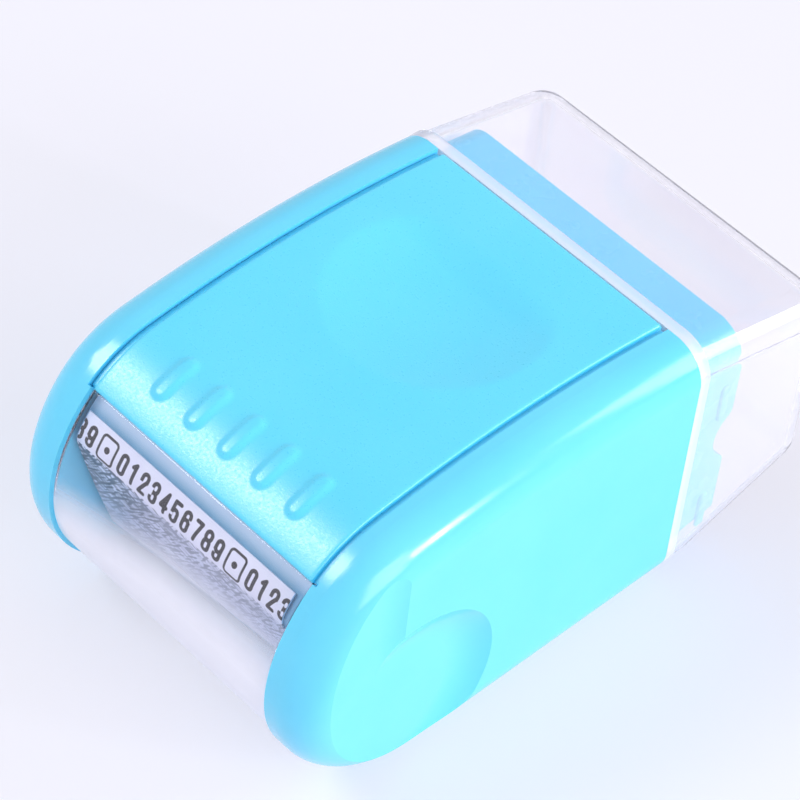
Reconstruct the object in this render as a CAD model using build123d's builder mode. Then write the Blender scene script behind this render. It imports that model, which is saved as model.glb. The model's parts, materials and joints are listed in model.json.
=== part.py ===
from build123d import *
from math import asin, atan2, cos, hypot, pi, radians, sin, sqrt, tan
import os

# Privacy roller stamp: origin under the middle of the whole stamp, on the face that it stands on
# X runs across the stamp, +Y points to the cap end, and the front window faces -Y

# Overall size
width = 44.0
height = 35.6
body_length = 52.4
cap_length = 21.6

# Side outline of the body, a chain of tangent arcs
nose_centre_drop = 0.4
nose_high_extra = 1.55
brow_tightening = 4.85
crown_radius = 145.0
crest_from_front = 33.0
edge_radius = 4.2

# Walls, seams and play
shell_wall = 1.8
seam = 0.15
seat_gap = 0.02
running_fit = 0.05
slide_gap = 0.3
overrun = 1.0

# Top cover
cover_from_side = 6.1
panel_front_rise = 2.41
groove_width = 0.8
groove_depth = 1.0
lip_depth = 0.5
lip_overlap = 1.6
lip_setback = 6.0
dimple_from_seam = 3.8
dimple_from_mouth = 15.9
dimple_flat_cut = 3.6
dimple_corner = 3.5
dimple_depth = 1.2
dimple_bevel = 2.1
dimple_hollow_radius = 105.0
rib_count = 5
rib_pitch = 4.87
rib_length = 5.9
rib_width = 2.3
rib_height = 0.5
rib_rounding = 0.45
rib_from_panel_front = 3.2

# Side shells
cheek_wall = 1.6
cheek_past_window = 2.35
scoop_radius = 13.2
scoop_from_front = 12.6
scoop_above_base = 10.2
scoop_depth = 1.7
scoop_floor_radius = 7.3
scoop_tilt = 4.2
step_from_front = 12.7

# Window and bottom cover
window_step = 0.3
visor_setback = 0.35
visor_wall = 1.0
visor_foot_rise = 1.1
bottom_cover_wall = 1.8
bottom_rib_width = 1.0
bottom_rib_height = 1.2
bottom_rib_count = 5
bottom_rib_setback = 2.4

# Neck frame
neck_from_side = 1.95
neck_reach = 8.0
neck_wall = 1.6
neck_corner = 3.0
neck_top_drop = 2.5
neck_top_slope_drop = 1.2
neck_base = 2.0
neck_base_rise = 0.8
rail_width = 2.0
rail_spacing = 22.0
neck_from_scoop = 0.6
flange_length = 2.0
notch_depth = 2.1
notch_height = 6.6
tab_corner = 1.4
ridge_length = 5.2
ridge_width = 1.2
ridge_height = 0.3
ridge_from_rear = 2.0
ridge_above_notch = 2.8
ridge_above_base = 4.1

# Cap
cap_rim_length = 1.4
cap_rim_step = 0.2
cap_wall = 1.2
cap_drop = 5.0
cap_rise = 5.1
cap_rise_from_mouth = 4.1
cap_corner = 3.6

# Ink cassette
cassette_wall = 1.2
cassette_side_wall = 1.4
cassette_rear_setback = 0.8
nose_from_cheek = 0.4
nose_setback = 1.8
nose_below_cover = 1.7
nose_tip_drop = 3.9
nose_foot_from_front = 10.4
nose_rounding = 2.4
plate_corner = 3.0
lid_skirt_depth = 0.8
lid_skirt_wall = 1.0
lid_edge = 0.4
label_thickness = 0.2
label_margin = 0.6
label_below_cover = 2.6
label_base_rise = 2.3

# Stamping roller
drum_protrusion = 1.0
tyre_gap = 0.4
tyre_width = 1.6
tyre_edge = 0.3
relief_from_tyre = 0.2
relief_height = 0.6
sleeve_wall = 1.2
spool_hub_share = 1 / 2
spool_wall_share = 1 / 6
spool_web = 1.6
spool_hole_margin = 0.3
spool_hole_count = 6
axle_radius = 1.5
axle_chamfer = 0.3
bush_inset = 0.25
bush_flange_step = 0.8
bush_flange = 0.4
bush_length = 5.0
stroke_rows = 10
stroke_columns = 6
stroke_length = 3.7
stroke_width = 1.1
stroke_slant = 35.0
stroke_root = 0.3

# Ink roller
ink_tube_radius = 3.4
foam_share = 0.12
ink_end_step = 0.4
ink_axle_radius = 1.2
ink_bush_radius = 2.2
ink_bush_flange_radius = 2.9
ink_bush_length = 4.0
roller_gap = 0.3

# Places worked out from the sizes above
front_y = -(body_length + cap_length) / 2
mouth_y = front_y + body_length
rear_y = mouth_y + cap_length
crest_y = front_y + crest_from_front
neck_rear_y = mouth_y + neck_reach
neck_front_y = front_y + scoop_from_front + scoop_radius + neck_from_scoop
nose_low_radius = height / 2 - nose_centre_drop
nose_high_radius = nose_low_radius + nose_high_extra
brow_radius = nose_high_radius - brow_tightening
low_centre = (front_y + nose_low_radius, nose_low_radius)
high_centre = (front_y + nose_high_radius, nose_low_radius)
crown_centre = (crest_y, height - crown_radius)
visor_low_radius = nose_low_radius - visor_foot_rise
visor_centre = (front_y + visor_setback + visor_low_radius, nose_low_radius)
cheek_depth = visor_setback + visor_low_radius + cheek_past_window
box_front_y = front_y + cheek_depth + slide_gap
cover_half_width = width / 2 - cover_from_side
dimple_radius = cover_half_width - dimple_from_seam
window_half_width = cover_half_width + window_step
visor_half_width = window_half_width - seam
neck_half_width = width / 2 - neck_from_side
neck_inner_half_width = neck_half_width - neck_wall
cassette_half_width = neck_inner_half_width - slide_gap
box_inner_half_width = cassette_half_width - cassette_side_wall
drum_half_width = box_inner_half_width - seam

os.makedirs("parts", exist_ok=True)


def polar(centre, radius, angle):
    """Point at a radius and an angle in radians from a centre."""
    return (centre[0] + radius * cos(angle), centre[1] + radius * sin(angle))


def angle_to(centre, point):
    """Angle in radians from a centre to a point."""
    return atan2(point[1] - centre[1], point[0] - centre[0])


def common_centre(first, first_distance, second, second_distance):
    """Centre at two given distances from two other centres, on the front side."""
    gap = hypot(second[0] - first[0], second[1] - first[1])
    along = (gap**2 + first_distance**2 - second_distance**2) / (2 * gap)
    aside = sqrt(first_distance**2 - along**2)
    ux, uy = (second[0] - first[0]) / gap, (second[1] - first[1]) / gap
    points = [
        (first[0] + along * ux - side * aside * uy, first[1] + along * uy + side * aside * ux)
        for side in (-1, 1)
    ]
    return min(points, key=lambda point: point[0])


brow_centre = common_centre(
    crown_centre, crown_radius - brow_radius, high_centre, nose_high_radius - brow_radius
)
crown_start = angle_to(crown_centre, brow_centre)
brow_end = angle_to(high_centre, brow_centre)
panel_front_angle = brow_end - panel_front_rise / brow_radius
panel_front = polar(brow_centre, brow_radius, panel_front_angle)


def crown_height(y, inset=0):
    """Height of the crown arc over a place along the stamp."""
    return crown_centre[1] + sqrt((crown_radius - inset) ** 2 - (y - crown_centre[0]) ** 2)


# Heights inside the neck frame, from the crown over the mouth downwards
neck_top = min(crown_height(neck_front_y), crown_height(mouth_y)) - neck_top_drop
cassette_base = neck_base + neck_base_rise + neck_wall + slide_gap
cassette_top = neck_top - neck_top_slope_drop - neck_wall - slide_gap
tyre_radius = (cassette_top - cassette_base) / 2 - cassette_wall - tyre_gap
relief_radius = tyre_radius - relief_from_tyre
drum_z = (cassette_base + cassette_top) / 2
drum_y = neck_rear_y + drum_protrusion - tyre_radius
ink_room = drum_y - relief_radius - roller_gap - box_front_y - cassette_wall
foam_radius = ink_tube_radius + foam_share * ink_room
ink_y = drum_y - relief_radius - roller_gap - foam_radius


def arc(centre, radius, start, end):
    """Arc from one angle to another about a centre."""
    ThreePointArc(
        polar(centre, radius, start),
        polar(centre, radius, (start + end) / 2),
        polar(centre, radius, end),
    )


def body_line(inset, end_y):
    """Closed side outline of the body from the nose to end_y, moved inwards by inset."""
    crown_end = angle_to(crown_centre, (end_y, crown_height(end_y, inset)))
    arc(crown_centre, crown_radius - inset, crown_end, crown_start)
    arc(brow_centre, brow_radius - inset, crown_start, brow_end)
    arc(high_centre, nose_high_radius - inset, brow_end, pi)
    arc(low_centre, nose_low_radius - inset, pi, 3 * pi / 2)
    Polyline(
        (low_centre[0], inset),
        (end_y, inset),
        (end_y, crown_height(end_y, inset)),
    )


def side_edges(part, half_width, end_y):
    """Edges of both side faces, without the upright ones at the open end."""
    sides = part.faces().filter_by(Axis.X)
    sides = sides.filter_by(lambda face: abs(abs(face.center().X) - half_width) < seam)
    edges = ShapeList(edge for face in sides for edge in face.edges())
    return edges.filter_by(lambda edge: abs(edge.center().Y - end_y) > seam)


# Outer and inner forms that the shells are cut from
with BuildPart() as outer_form:
    with BuildSketch(Plane.YZ):
        with BuildLine():
            body_line(0, mouth_y)
        make_face()
    extrude(amount=width / 2, both=True)
    fillet(side_edges(outer_form, width / 2, mouth_y), radius=edge_radius)

with BuildPart() as inner_form:
    with BuildSketch(Plane.YZ):
        with BuildLine():
            body_line(shell_wall, mouth_y + overrun)
        make_face()
    extrude(amount=width / 2 - shell_wall, both=True)
    fillet(
        side_edges(inner_form, width / 2 - shell_wall, mouth_y + overrun),
        radius=edge_radius - shell_wall,
    )


def place_on_brow(distance):
    """Angle about the brow's centre at a distance behind the panel's front edge."""
    return panel_front_angle - distance / brow_radius


def surface_plane(angle, lift=0):
    """Plane that touches the brow at an angle, with its local Y running rearwards."""
    y, z = polar(brow_centre, brow_radius + lift, angle)
    return Plane(origin=(0, y, z), x_dir=(1, 0, 0), z_dir=(0, cos(angle), sin(angle)))


# Carved finger scoop of the right side: a round hollow below and a step behind the cheek above
# Both are tilted together so that they run out towards the nose, and their walls curve up softly
scoop_floor_x = width / 2 - scoop_depth
scoop_hinge = Axis((width / 2, front_y + scoop_from_front + scoop_radius, 0), (0, 0, 1))
step_depth = scoop_depth - tan(radians(scoop_tilt)) * (
    scoop_from_front + scoop_radius - step_from_front
)


def wall_reach(depth):
    """Distance from the wall's edge to its upright part, for a wall that starts at a depth."""
    return scoop_floor_radius - sqrt(scoop_floor_radius**2 - (scoop_floor_radius - depth) ** 2)


with BuildPart() as scoop_tool:
    with BuildSketch(Plane.YZ.offset(scoop_floor_x)):
        with Locations((front_y + scoop_from_front, scoop_above_base)):
            Circle(scoop_radius + wall_reach(scoop_depth))
    extrude(amount=scoop_floor_radius + overrun)
    fillet(
        scoop_tool.faces().filter_by(Axis.X).sort_by(Axis.X)[0].edges(),
        radius=scoop_floor_radius,
    )

with BuildPart() as step_tool:
    with BuildSketch(Plane.XY.offset(scoop_above_base)):
        with Locations((scoop_floor_x, front_y + step_from_front + wall_reach(step_depth))):
            Rectangle(
                scoop_floor_radius + overrun,
                step_from_front + scoop_floor_radius,
                align=(Align.MIN, Align.MAX),
            )
    extrude(amount=height)
    fillet(
        step_tool.edges().filter_by(Axis.Z).group_by(Axis.X)[0].sort_by(Axis.Y)[-1],
        radius=scoop_floor_radius,
    )

with BuildPart() as scoop_form:
    add(scoop_tool.part)
    add(step_tool.part)

scoop_cut = scoop_form.part.rotate(scoop_hinge, scoop_tilt)
scoop_backing = scoop_cut.moved(Location((-shell_wall, 0, 0)))


def cover_sector(front_angle, reach):
    """Closed side line round the space over the top cover, from an angle on the brow to the mouth."""
    Polyline(
        brow_centre,
        polar(brow_centre, brow_radius + overrun + reach, front_angle),
        (brow_centre[0], height + overrun + reach),
        (mouth_y + reach, height + overrun + reach),
        (mouth_y + reach, brow_centre[1]),
        close=True,
    )


# Solid band under the cover's seam, which the top cover rests on, with its root in the shell
lip_rear_y = mouth_y - flange_length - seam
lip_floor = shell_wall + seat_gap + lip_depth

with BuildPart() as cover_lip:
    with BuildSketch(Plane.YZ.offset(cover_half_width - lip_overlap)):
        with BuildLine():
            body_line(shell_wall + seat_gap, lip_rear_y)
        make_face()
        with BuildLine():
            body_line(lip_floor, mouth_y)
        make_face(mode=Mode.SUBTRACT)
        with BuildLine():
            cover_sector(place_on_brow(lip_setback), 0)
        make_face(mode=Mode.INTERSECT)
    extrude(amount=2 * lip_overlap + groove_width)
    with BuildSketch(Plane.YZ.offset(window_half_width)):
        with BuildLine():
            body_line(groove_depth, lip_rear_y)
        make_face()
        with BuildLine():
            body_line(lip_floor, mouth_y)
        make_face(mode=Mode.SUBTRACT)
        with BuildLine():
            cover_sector(place_on_brow(lip_setback), 0)
        make_face(mode=Mode.INTERSECT)
    extrude(amount=lip_overlap)


# Band that is cut from the side shell to leave the groove beside the top cover
with BuildPart() as groove_band:
    with BuildSketch(Plane.YZ.offset(cover_half_width)):
        with BuildLine():
            body_line(-overrun, mouth_y + overrun)
        make_face()
        with BuildLine():
            body_line(groove_depth, mouth_y + 2 * overrun)
        make_face(mode=Mode.SUBTRACT)
        with BuildLine():
            cover_sector(panel_front_angle, overrun)
        make_face(mode=Mode.INTERSECT)
    extrude(amount=groove_width)


with BuildPart() as cheek_form:
    add(outer_form.part)
    with BuildSketch(Plane.XY):
        with Locations((window_half_width, front_y - overrun)):
            Rectangle(cheek_wall, cheek_depth + overrun, align=(Align.MIN, Align.MIN))
    extrude(amount=height + overrun, mode=Mode.INTERSECT)


with BuildPart() as scoop_wall:
    add(scoop_backing)
    add(inner_form.part, mode=Mode.INTERSECT)


with BuildPart() as side_shell_right:
    add(outer_form.part)
    add(inner_form.part, mode=Mode.SUBTRACT)
    split(bisect_by=Plane.YZ.offset(window_half_width), keep=Keep.TOP)
    add(cheek_form.part)
    add(cover_lip.part)
    add(scoop_wall.part)
    add(groove_band.part, mode=Mode.SUBTRACT)
    add(scoop_cut, mode=Mode.SUBTRACT)
side_shell_right.part.label = "side_shell_right"
export_step(side_shell_right.part, "parts/side_shell_right.step")

with BuildPart() as side_shell_left:
    add(side_shell_right.part)
    mirror(about=Plane.YZ, mode=Mode.REPLACE)
side_shell_left.part.label = "side_shell_left"
export_step(side_shell_left.part, "parts/side_shell_left.step")


# Top cover with its thumb dimple and ribs
dimple_y = mouth_y - dimple_from_mouth
rib_angle = place_on_brow(rib_from_panel_front + rib_length / 2)


def dimple_outline(inset):
    """Circle with a straight rear edge, moved inwards by inset."""
    radius = dimple_radius - inset
    Circle(radius)
    with Locations((0, radius - dimple_flat_cut)):
        Rectangle(2 * radius, radius, align=(Align.CENTER, Align.MIN), mode=Mode.SUBTRACT)


def dimple_plane(depth):
    """Plane below the crown over the dimple's centre, tilted with the crown."""
    lean = asin((dimple_y - crest_y) / crown_radius)
    y, z = polar(crown_centre, crown_radius - depth, pi / 2 - lean)
    return Plane(origin=(0, y, z), x_dir=(1, 0, 0), z_dir=(0, sin(lean), cos(lean)))


with BuildPart() as dimple_tool:
    with BuildSketch(dimple_plane(dimple_depth)) as dimple_floor:
        dimple_outline(dimple_bevel)
        fillet(dimple_floor.vertices(), radius=dimple_corner - dimple_bevel)
    with BuildSketch(dimple_plane(-dimple_depth / 2)) as dimple_mouth:
        dimple_outline(-dimple_bevel / 2)
        fillet(dimple_mouth.vertices(), radius=dimple_corner + dimple_bevel / 2)
    loft()
    with Locations(dimple_plane(dimple_depth - dimple_hollow_radius)):
        Sphere(dimple_hollow_radius, mode=Mode.INTERSECT)


with BuildPart() as dimple_wall:
    add(dimple_tool.part.moved(Location((0, 0, -shell_wall))))
    add(inner_form.part, mode=Mode.INTERSECT)


with BuildPart() as rib_form:
    with BuildSketch(Plane.YZ):
        with Locations(brow_centre):
            Circle(brow_radius + rib_height)
    extrude(amount=cover_half_width, both=True)
    with BuildSketch(surface_plane(rib_angle, -shell_wall / 2)):
        with GridLocations(rib_pitch, rib_length, rib_count, 1):
            SlotOverall(rib_length, rib_width, rotation=90)
    extrude(amount=shell_wall, mode=Mode.INTERSECT)
    crests = rib_form.edges().filter_by(
        lambda edge: hypot(
            edge.center().Y - brow_centre[0], edge.center().Z - brow_centre[1]
        ) > brow_radius
    )
    fillet(crests, radius=rib_rounding)


with BuildPart() as top_cover:
    add(outer_form.part)
    add(inner_form.part, mode=Mode.SUBTRACT)
    with BuildSketch(Plane.YZ):
        with BuildLine():
            cover_sector(panel_front_angle, 0)
        make_face()
    extrude(amount=cover_half_width, both=True, mode=Mode.INTERSECT)
    add(dimple_wall.part)
    add(dimple_tool.part, mode=Mode.SUBTRACT)
    add(rib_form.part)
top_cover.part.label = "top_cover"
export_step(top_cover.part, "parts/top_cover.step")


# Clear window round the nose, set a little below the cheeks
visor_top_angle = panel_front_angle + seat_gap / brow_radius


def visor_line(depth):
    """Side line of the window from the top cover down to the base, at a depth inside it."""
    arc(brow_centre, brow_radius - visor_setback - depth, visor_top_angle, brow_end)
    arc(high_centre, nose_high_radius - visor_setback - depth, brow_end, pi)
    arc(visor_centre, visor_low_radius - depth, pi, 3 * pi / 2)


with BuildPart() as window_visor:
    with BuildSketch(Plane.YZ):
        with BuildLine():
            visor_line(0)
            visor_line(visor_wall)
            Line(
                polar(brow_centre, brow_radius - visor_setback, visor_top_angle),
                polar(brow_centre, brow_radius - visor_setback - visor_wall, visor_top_angle),
            )
            Line(
                polar(visor_centre, visor_low_radius, 3 * pi / 2),
                polar(visor_centre, visor_low_radius - visor_wall, 3 * pi / 2),
            )
        make_face()
    extrude(amount=visor_half_width, both=True)
window_visor.part.label = "window_visor"
export_step(window_visor.part, "parts/window_visor.step")


# Bottom cover between the side shells, ribbed in front of the neck frame
bottom_front_y = visor_centre[0] + seat_gap
bottom_rib_length = neck_front_y - slide_gap - bottom_front_y - bottom_rib_setback
bottom_rib_y = neck_front_y - slide_gap - bottom_rib_length / 2
bottom_rib_pitch = 2 * visor_half_width / bottom_rib_count

with BuildPart() as bottom_cover:
    with BuildSketch(Plane.XY):
        with Locations((0, bottom_front_y)):
            Rectangle(
                2 * visor_half_width, mouth_y - bottom_front_y, align=(Align.CENTER, Align.MIN)
            )
    extrude(amount=bottom_cover_wall)
    with BuildSketch(Plane.XY.offset(bottom_cover_wall)):
        with Locations((0, bottom_rib_y)):
            with GridLocations(bottom_rib_pitch, bottom_rib_length, bottom_rib_count, 1):
                Rectangle(bottom_rib_width, bottom_rib_length)
    extrude(amount=bottom_rib_height)
bottom_cover.part.label = "bottom_cover"
export_step(bottom_cover.part, "parts/bottom_cover.step")


# Neck frame: a square tube that holds the cassette and that the cap slides over
notch_radius = (notch_height**2 / 4 + notch_depth**2) / (2 * notch_depth)
notch_centre = (neck_rear_y + notch_radius - notch_depth, drum_z)
ridge_y = neck_rear_y - ridge_from_rear


def neck_side(inset, reach):
    """Side outline of the neck, moved inwards by inset and run on past both ends."""
    Polyline(
        (neck_front_y - reach, neck_base + inset),
        (mouth_y, neck_base + inset),
        (neck_rear_y + reach, neck_base + neck_base_rise + inset),
        (neck_rear_y + reach, neck_top - neck_top_slope_drop - inset),
        (mouth_y, neck_top - inset),
        (neck_front_y - reach, neck_top - inset),
        close=True,
    )


def long_edges(part, half_width, front, rear):
    """Edges of both side faces that run along the stamp, without those at its two ends."""
    edges = side_edges(part, half_width, rear)
    return edges.filter_by(lambda edge: abs(edge.center().Y - front) > seam)


with BuildPart() as neck_hollow:
    with BuildSketch(Plane.YZ):
        with BuildLine():
            neck_side(neck_wall, overrun)
        make_face()
    extrude(amount=neck_inner_half_width, both=True)
    fillet(
        long_edges(
            neck_hollow, neck_inner_half_width, neck_front_y - overrun, neck_rear_y + overrun
        ),
        radius=neck_corner - neck_wall,
    )


with BuildPart() as neck_flange:
    with BuildSketch(Plane.YZ):
        with BuildLine():
            body_line(shell_wall + seam, mouth_y)
        make_face()
    flange_half_width = width / 2 - shell_wall - seam
    extrude(amount=flange_half_width, both=True)
    fillet(
        side_edges(neck_flange, flange_half_width, mouth_y),
        radius=edge_radius - shell_wall - seam,
    )
    split(bisect_by=Plane.XZ.offset(flange_length - mouth_y), keep=Keep.BOTTOM)


with BuildPart() as snap_ridges:
    with BuildSketch(Plane.YZ.offset(neck_half_width)):
        with Locations(
            (ridge_y, drum_z + notch_height / 2 + ridge_above_notch),
            (ridge_y, neck_base + ridge_above_base),
        ):
            SlotOverall(ridge_length, ridge_width, rotation=90)
    extrude(amount=ridge_height)
    chamfer(
        snap_ridges.faces().filter_by(Axis.X).group_by(Axis.X)[-1].edges(),
        length=ridge_height / 2,
    )


with BuildPart() as neck_frame:
    with BuildSketch(Plane.YZ):
        with BuildLine():
            neck_side(0, 0)
        make_face()
    extrude(amount=neck_half_width, both=True)
    fillet(
        long_edges(neck_frame, neck_half_width, neck_front_y, neck_rear_y), radius=neck_corner
    )
    add(neck_flange.part)
    add(neck_hollow.part, mode=Mode.SUBTRACT)
    with BuildSketch(Plane.YZ):
        with Locations(notch_centre):
            Circle(notch_radius)
    extrude(amount=width, both=True, mode=Mode.SUBTRACT)
    notch_corners = neck_frame.edges().filter_by(Axis.X).filter_by(
        lambda edge: abs(edge.center().Y - neck_rear_y) < seam
        and abs(abs(edge.center().Z - drum_z) - notch_height / 2) < seam
    )
    fillet(notch_corners, radius=tab_corner)
    with BuildSketch(Plane.XY.offset(cassette_base - slide_gap)):
        with Locations((0, neck_front_y)):
            with GridLocations(rail_spacing, 0, 2, 1):
                Rectangle(
                    rail_width, neck_rear_y - neck_front_y, align=(Align.CENTER, Align.MIN)
                )
    extrude(amount=neck_base + neck_wall / 2 - cassette_base + slide_gap)
    add(snap_ridges.part)
    add(snap_ridges.part.mirror(Plane.YZ))
neck_frame.part.label = "neck_frame"
export_step(neck_frame.part, "parts/neck_frame.step")


# Clear cap, a wedge that tapers to the rear, with a rim flush with the body
cap_half_width = width / 2 - cap_rim_step
cap_top = crown_height(mouth_y) - cap_rim_step
cap_front_y = mouth_y + seat_gap


def cap_side(reach):
    """Closed side outline of the cap, run on past its mouth by reach."""
    Polyline(
        (cap_front_y - reach, cap_rim_step),
        (mouth_y + cap_rise_from_mouth, cap_rim_step),
        (rear_y, cap_rim_step + cap_rise),
        (rear_y, cap_top - cap_drop),
        (cap_front_y, cap_top),
        (cap_front_y - reach, cap_top),
        close=True,
    )


def closed_end_edges(part, half_width, front, rear):
    """Edges of both side faces and of the rear face, without those at the front."""
    across = part.edges().filter_by(Axis.X)
    rear_edges = across.filter_by(lambda edge: abs(edge.center().Y - rear) < seam)
    return side_edges(part, half_width, front) + rear_edges


with BuildPart() as cap_hollow:
    with BuildSketch(Plane.YZ):
        with BuildLine():
            cap_side(overrun + cap_wall)
        make_face()
        offset(amount=-cap_wall, kind=Kind.INTERSECTION)
    extrude(amount=cap_half_width - cap_wall, both=True)
    fillet(
        closed_end_edges(
            cap_hollow, cap_half_width - cap_wall, cap_front_y - overrun, rear_y - cap_wall
        ),
        radius=cap_corner - cap_wall,
    )


with BuildPart() as cap:
    with BuildSketch(Plane.YZ):
        with BuildLine():
            cap_side(overrun)
        make_face()
    extrude(amount=cap_half_width, both=True)
    fillet(
        closed_end_edges(cap, cap_half_width, cap_front_y - overrun, rear_y), radius=cap_corner
    )
    body_end = outer_form.faces().sort_by(Axis.Y)[-1]
    extrude(body_end, amount=seat_gap + cap_rim_length)
    split(bisect_by=Plane.XZ.offset(-cap_front_y), keep=Keep.BOTTOM)
    add(cap_hollow.part, mode=Mode.SUBTRACT)
cap.part.label = "cap"
export_step(cap.part, "parts/cap.step")


# Ink cassette: a narrow nose behind the window and a wide box that holds both rollers
nose_radius = nose_high_radius - nose_setback
nose_foot_y = front_y + nose_foot_from_front
box_rear_y = neck_rear_y - cassette_rear_setback
box_top = cassette_top - cassette_wall - seat_gap
nose_half_width = window_half_width - nose_from_cheek
label_half_width = nose_half_width - label_margin
nose_top = panel_front[1] - nose_below_cover
label_top = panel_front[1] - label_below_cover
label_base = cassette_base + label_base_rise


def nose_point(z):
    """Point of the nose's front arc at a height."""
    return (high_centre[0] - sqrt(nose_radius**2 - (z - high_centre[1]) ** 2), z)


def nose_line(rear):
    """Closed side outline of the nose, back to a place along the stamp."""
    top = nose_point(nose_top)
    tip = nose_point(nose_top - nose_tip_drop)
    arc(high_centre, nose_radius, angle_to(high_centre, top), angle_to(high_centre, tip))
    Polyline(tip, (nose_foot_y, cassette_base), (rear, cassette_base), (rear, nose_top), top)


def round_nose(sketch):
    """Round the foremost corner of the nose in its sketch."""
    fillet(sketch.vertices().sort_by(Axis.X)[0], radius=nose_rounding)


with BuildPart() as nose_hollow:
    with BuildSketch(Plane.YZ) as side:
        with BuildLine():
            nose_line(box_front_y + 2 * cassette_wall + overrun)
        make_face()
        round_nose(side)
        offset(amount=-cassette_wall, kind=Kind.INTERSECTION)
    extrude(amount=nose_half_width - cassette_wall, both=True)


with BuildPart() as cassette_frame:
    with BuildSketch(Plane.YZ) as side:
        with BuildLine():
            nose_line(box_front_y + cassette_wall)
        make_face()
        round_nose(side)
        with BuildLine():
            body_line(shell_wall + seam, mouth_y)
        make_face(mode=Mode.INTERSECT)
    extrude(amount=nose_half_width, both=True)
    with BuildSketch(Plane.YZ):
        with Locations((box_front_y, cassette_base)):
            Rectangle(
                box_rear_y - box_front_y, box_top - cassette_base, align=(Align.MIN, Align.MIN)
            )
    extrude(amount=cassette_half_width, both=True)
    plate_corners = cassette_frame.edges().filter_by(Axis.X).group_by(Axis.Y)[-1]
    fillet(plate_corners, radius=plate_corner)
    add(nose_hollow.part, mode=Mode.SUBTRACT)
    with BuildSketch(Plane.YZ):
        with Locations((box_front_y + cassette_wall, cassette_base + cassette_wall)):
            Rectangle(
                box_rear_y - box_front_y, cassette_top - cassette_base, align=(Align.MIN, Align.MIN)
            )
    extrude(amount=box_inner_half_width, both=True, mode=Mode.SUBTRACT)
    with BuildSketch(Plane.YZ):
        with Locations((drum_y, drum_z)):
            Circle(axle_radius + running_fit)
        with Locations((ink_y, drum_z)):
            Circle(ink_axle_radius + running_fit)
    extrude(amount=width, both=True, mode=Mode.SUBTRACT)
cassette_frame.part.label = "cassette_frame"
export_step(cassette_frame.part, "parts/cassette_frame.step")


# Lid of the cassette, with a skirt that drops between its walls ahead of the rollers
skirt_front_y = box_front_y + cassette_wall + seam
skirt_rear_y = drum_y - tyre_radius - slide_gap
skirt_half_width = box_inner_half_width - seam

with BuildPart() as cassette_lid:
    with BuildSketch(Plane.XY.offset(cassette_top - cassette_wall)):
        with Locations((0, box_front_y + cassette_wall + seam)):
            Rectangle(
                2 * cassette_half_width,
                box_rear_y - box_front_y - cassette_wall - seam,
                align=(Align.CENTER, Align.MIN),
            )
    extrude(amount=cassette_wall)
    chamfer(cassette_lid.faces().sort_by(Axis.Z)[-1].edges(), length=lid_edge)
    with BuildSketch(Plane.XY.offset(cassette_top - cassette_wall)):
        with Locations((0, (skirt_front_y + skirt_rear_y) / 2)):
            Rectangle(2 * skirt_half_width, skirt_rear_y - skirt_front_y)
            offset(amount=-lid_skirt_wall, mode=Mode.SUBTRACT)
    extrude(amount=-lid_skirt_depth)
cassette_lid.part.label = "cassette_lid"
export_step(cassette_lid.part, "parts/cassette_lid.step")


# Printed index label, wrapped round the front of the nose
with BuildPart() as index_label:
    with BuildSketch(Plane.YZ) as side:
        with BuildLine():
            nose_line(box_front_y)
        make_face()
        round_nose(side)
        offset(amount=seat_gap + label_thickness, kind=Kind.INTERSECTION)
    extrude(amount=label_half_width, both=True)
    with BuildSketch(Plane.YZ) as side:
        with BuildLine():
            nose_line(box_front_y + overrun)
        make_face()
        round_nose(side)
        offset(amount=seat_gap, kind=Kind.INTERSECTION)
    extrude(amount=label_half_width, both=True, mode=Mode.SUBTRACT)
    with BuildSketch(Plane.YZ):
        with Locations((front_y, label_base)):
            Rectangle(nose_foot_from_front, label_top - label_base, align=(Align.MIN, Align.MIN))
    extrude(amount=label_half_width, both=True, mode=Mode.INTERSECT)
index_label.part.label = "index_label"
export_step(index_label.part, "parts/index_label.step")


def upright_ring(outer_radius, inner_radius):
    """Ring or disc in the current sketch."""
    Circle(outer_radius)
    Circle(inner_radius, mode=Mode.SUBTRACT)


# Stamping roller: steel pin, spool, patterned sleeve, and a tyre and a bush at each end
spool_radius = relief_radius - relief_height - sleeve_wall
spool_wall = spool_wall_share * spool_radius
spool_hub_radius = spool_hub_share * spool_radius
spool_hole_radius = (spool_radius - spool_wall - spool_hub_radius) / 2 - spool_hole_margin
bush_radius = (axle_radius + spool_hub_radius) / 2 - bush_inset
bush_flange_radius = bush_radius + bush_flange_step
sleeve_half_width = drum_half_width - tyre_width - seam
hub_half_width = drum_half_width - bush_flange - seat_gap
drum_centre = (drum_y, drum_z)

with BuildPart() as drum_axle:
    with BuildSketch(Plane.YZ):
        with Locations(drum_centre):
            Circle(axle_radius)
    extrude(amount=cassette_half_width, both=True)
    chamfer(drum_axle.edges(), length=axle_chamfer)
drum_axle.part.label = "drum_axle"
export_step(drum_axle.part, "parts/drum_axle.step")

with BuildPart() as drum_core:
    with BuildSketch(Plane.YZ):
        with Locations(drum_centre):
            upright_ring(spool_radius, spool_radius - spool_wall)
    extrude(amount=drum_half_width, both=True)
    with BuildSketch(Plane.YZ):
        with Locations(drum_centre):
            Circle(spool_hub_radius)
    extrude(amount=hub_half_width, both=True)
    with BuildSketch(Plane.YZ):
        with Locations(drum_centre):
            Circle(spool_radius - spool_wall / 2)
            with PolarLocations((spool_hub_radius + spool_radius - spool_wall) / 2, spool_hole_count):
                Circle(spool_hole_radius, mode=Mode.SUBTRACT)
    extrude(amount=spool_web / 2, both=True)
    with BuildSketch(Plane.YZ):
        with Locations(drum_centre):
            Circle(bush_radius + seat_gap)
    extrude(amount=width, both=True, mode=Mode.SUBTRACT)
drum_core.part.label = "drum_core"
export_step(drum_core.part, "parts/drum_core.step")

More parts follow.
